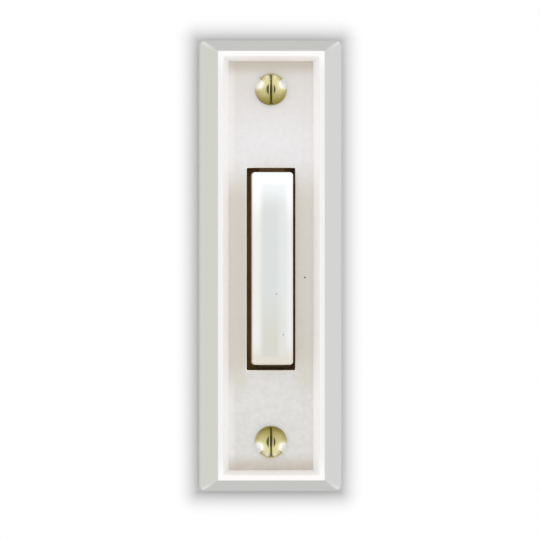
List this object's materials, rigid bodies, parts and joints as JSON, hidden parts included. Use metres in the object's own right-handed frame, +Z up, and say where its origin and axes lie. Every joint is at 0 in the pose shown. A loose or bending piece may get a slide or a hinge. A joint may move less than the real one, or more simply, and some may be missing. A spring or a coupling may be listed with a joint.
{
  "type": "doorbell push button",
  "caption": "Lighted doorbell push button: oblong bevelled casing with a sunk panel, a sprung push bar and two wall screws.",
  "frame": {"origin": "centre of the casing's back, in the wall plane", "axes": "+Z up along the casing's length, +X to the right seen from the front, +Y into the wall, so the front faces -Y"},
  "size_m": [0.0254, 0.0284, 0.08],
  "materials": {
    "white_abs": "satin moulded, fine pebble on the panel",
    "milky_bar": "smooth translucent",
    "phenolic_board": "pressed paper laminate",
    "spring_bronze": "rolled",
    "bright_brass": "stamped and turned",
    "contact_metal": "plated rivet",
    "lamp_epoxy": "cast, diffused",
    "tinned_wire": "tinned",
    "resistor_lacquer": "lacquered, banded",
    "plated_brass": "polished plating"
  },
  "bodies": {
    "housing": {"cover": "white_abs", "base_plate": "phenolic_board", "contact_leaf": "spring_bronze", "fixed_contact_strip": "bright_brass", "leaf_rivet": "bright_brass", "strip_rivet": "bright_brass", "fixed_contact": "contact_metal", "led": "lamp_epoxy", "led_lead_upper": "tinned_wire", "led_lead_lower": "tinned_wire", "resistor": "resistor_lacquer", "resistor_upper_lead": "tinned_wire", "resistor_lower_lead": "tinned_wire", "upper_terminal_screw": "bright_brass", "lower_terminal_screw": "bright_brass", "upper_wire_washer": "bright_brass", "lower_wire_washer": "bright_brass", "upper_mounting_screw": "plated_brass", "lower_mounting_screw": "plated_brass"},
    "bar": {"push_bar": "milky_bar"},
    "leaf_contact": {"moving_contact": "contact_metal"}
  },
  "joints": [
    {"name": "press", "type": "slide", "parent": "housing", "child": "bar", "axis": [0, 1, 0], "range_m": [0, 0.0016], "stiffness_N_per_m": 800, "springref_m": -0.001, "deforming": ["contact_leaf"]},
    {"name": "contact_travel", "type": "slide", "parent": "housing", "child": "leaf_contact", "axis": [0, 1, 0], "range_m": [0, 0.00145]}
  ],
  "couplings": [
    {"joint": "contact_travel", "follows": "press", "ratio": 0.9}
  ]
}
